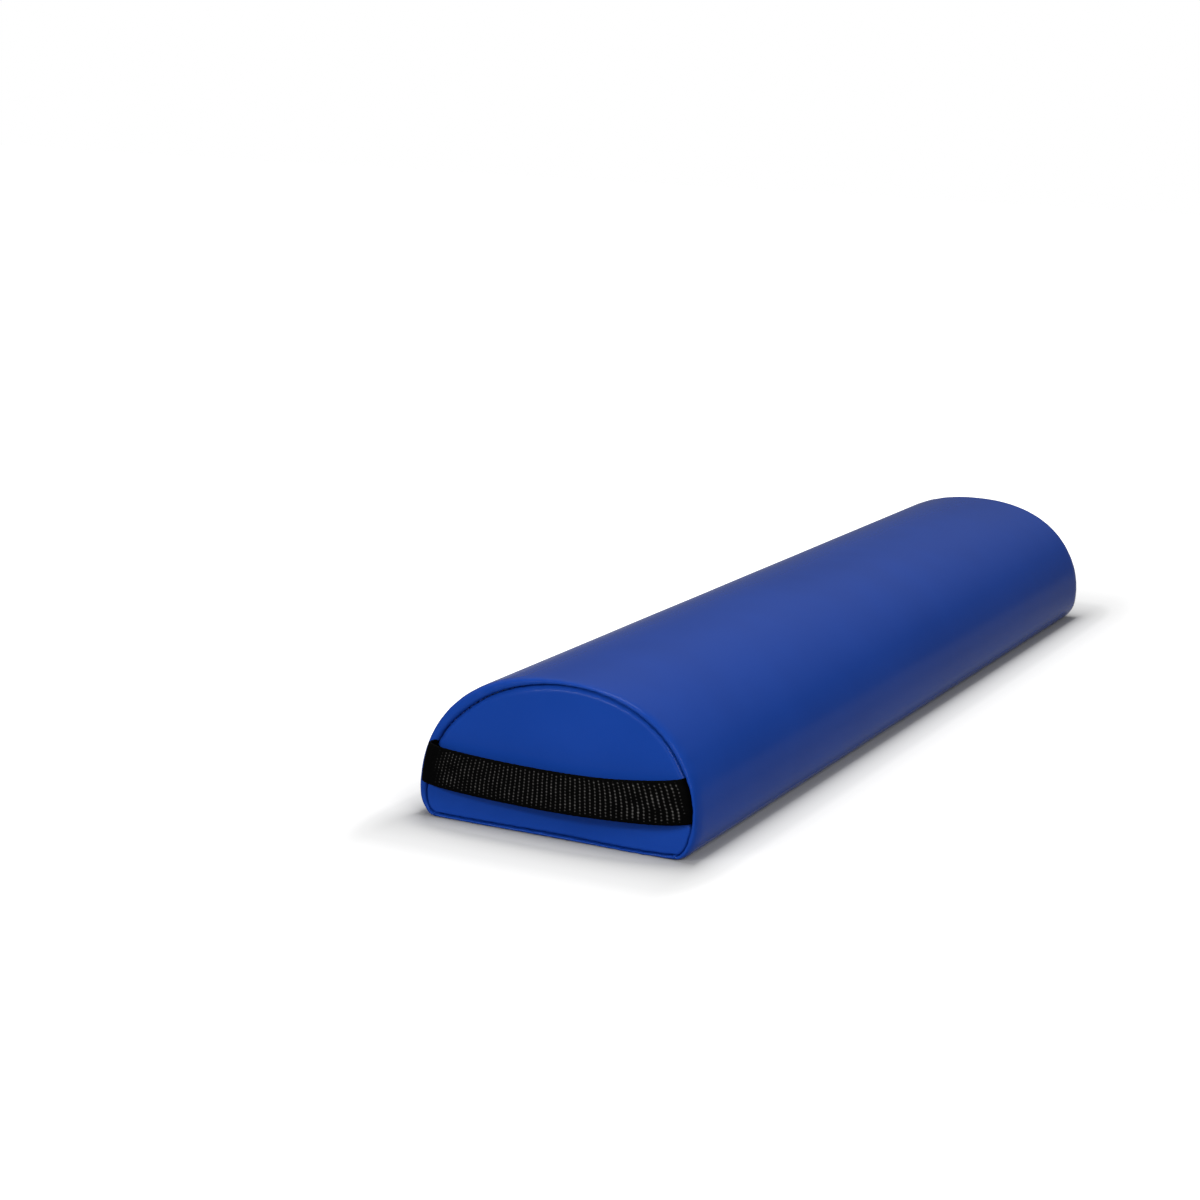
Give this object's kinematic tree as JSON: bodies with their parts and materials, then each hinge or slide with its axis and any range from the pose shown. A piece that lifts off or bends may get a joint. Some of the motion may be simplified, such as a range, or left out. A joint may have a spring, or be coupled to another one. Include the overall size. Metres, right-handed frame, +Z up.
{
  "type": "half round bolster",
  "caption": "Long D-shaped foam bolster with a flat base, a sewn vinyl cover, a webbing carrying strap across one end and a sunk zipper in the base seam.",
  "frame": {"origin": "middle of the flat base, on its underside", "axes": "+Z up out of the base, +Y along the bolster from the strap's end to the plain end, +X across to the side away from the zipper"},
  "size_m": [0.1524, 0.6717, 0.078],
  "materials": {
    "vinyl": "smooth royal blue upholstery vinyl with a fine grain and a satin sheen",
    "foam": "cut polyurethane foam, matte",
    "webbing": "woven black polypropylene webbing",
    "zipper_tape": "woven polyester tape, dark blue",
    "zipper_coil": "nylon coil, dark blue",
    "zipper_metal": "nickel-plated zinc"
  },
  "bodies": {
    "bolster": {"foam_core": "foam", "arch_cover": "vinyl", "base_cover": "vinyl", "front_end_panel": "vinyl", "rear_end_panel": "vinyl", "handle_strap": "webbing", "zipper_tape_arch_side": "zipper_tape", "zipper_tape_base_side": "zipper_tape", "zipper_coil_arch_side": "zipper_coil", "zipper_coil_base_side": "zipper_coil", "zipper_top_stop_arch_side": "zipper_metal", "zipper_top_stop_base_side": "zipper_metal", "zipper_bottom_stop": "zipper_metal"},
    "slider": {"zipper_slider": "zipper_metal"},
    "pull_tab": {"zipper_pull_tab": "zipper_metal"}
  },
  "joints": [
    {"name": "zipper_slide", "type": "slide", "parent": "bolster", "child": "slider", "axis": [0, -1, 0], "range_m": [0, 0.516]},
    {"name": "pull_tab_hinge", "type": "hinge", "parent": "slider", "child": "pull_tab", "pos_m": [-0.0651, 0.2658, 0.00188], "axis": [0.9659, 0, -0.2588], "range_deg": [0, 150]}
  ]
}
